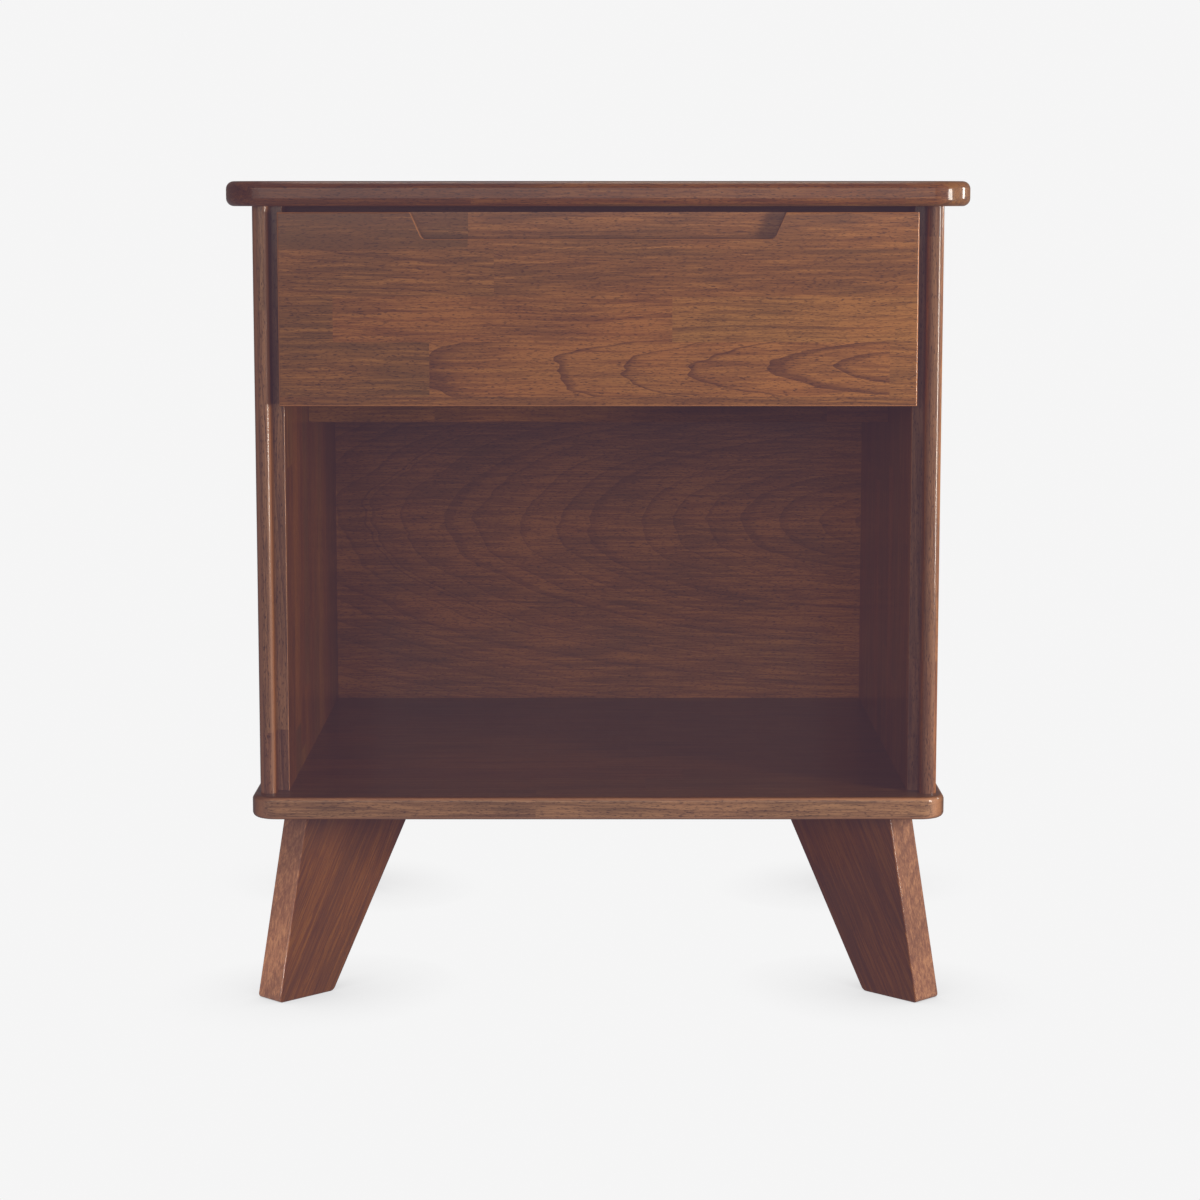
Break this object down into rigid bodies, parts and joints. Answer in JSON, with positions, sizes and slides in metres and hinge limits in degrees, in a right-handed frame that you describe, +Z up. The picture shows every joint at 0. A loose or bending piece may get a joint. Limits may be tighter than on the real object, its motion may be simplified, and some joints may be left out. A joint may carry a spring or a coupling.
{
  "type": "side table with drawer",
  "caption": "Stained wood side table with a sliding drawer with a routed finger pull, an open shelf below it and splayed tapered board legs.",
  "frame": {"origin": "on the floor under the middle of the table's bounding box", "axes": "+Z up, the drawer front faces -Y, +X to the right of a person who faces the drawer"},
  "size_m": [0.572, 0.496, 0.645],
  "materials": {
    "stained_wood": "satin",
    "stained_veneer": "satin",
    "drawer_box_wood": "satin",
    "drawer_plywood": "satin",
    "dowel_wood": "matte",
    "zinc_plated_steel": "satin",
    "screw_steel": "satin",
    "nylon": "matte"
  },
  "bodies": {
    "case": {"top_board": "stained_wood", "bottom_shelf": "stained_wood", "side_panel_left": "stained_wood", "side_panel_right": "stained_wood", "top_rail_front": "stained_wood", "top_rail_rear": "stained_wood", "under_drawer_rail": "stained_wood", "leg_front_left": "stained_wood", "leg_front_right": "stained_wood", "leg_rear_left": "stained_wood", "leg_rear_right": "stained_wood", "back_panel": "stained_veneer", "leg_tenons": "dowel_wood", "rail_dowels": "dowel_wood", "slide_cabinet_member_left": "zinc_plated_steel", "slide_cabinet_member_right": "zinc_plated_steel", "top_screws": "screw_steel", "case_screws": "screw_steel", "back_panel_screws": "screw_steel", "slide_cabinet_screws": "screw_steel"},
    "drawer": {"drawer_front": "stained_wood", "drawer_box_front": "drawer_box_wood", "drawer_side_left": "drawer_box_wood", "drawer_side_right": "drawer_box_wood", "drawer_back": "drawer_box_wood", "drawer_bottom": "drawer_plywood", "slide_drawer_member_left": "zinc_plated_steel", "slide_drawer_member_right": "zinc_plated_steel", "slide_drawer_screws": "screw_steel", "drawer_front_screws": "screw_steel", "drawer_bottom_screws": "screw_steel"},
    "middle_member_left": {"slide_middle_member_left": "zinc_plated_steel", "slide_bearings_left": "nylon"},
    "middle_member_right": {"slide_middle_member_right": "zinc_plated_steel", "slide_bearings_right": "nylon"}
  },
  "joints": [
    {"name": "drawer_slide", "type": "slide", "parent": "case", "child": "drawer", "axis": [0, -1, 0], "range_m": [0, 0.38]},
    {"name": "middle_member_slide_left", "type": "slide", "parent": "case", "child": "middle_member_left", "axis": [0, -1, 0], "range_m": [0, 0.19]},
    {"name": "middle_member_slide_right", "type": "slide", "parent": "case", "child": "middle_member_right", "axis": [0, -1, 0], "range_m": [0, 0.19]}
  ],
  "couplings": [
    {"joint": "middle_member_slide_left", "follows": "drawer_slide", "ratio": 0.5},
    {"joint": "middle_member_slide_right", "follows": "drawer_slide", "ratio": 0.5}
  ]
}
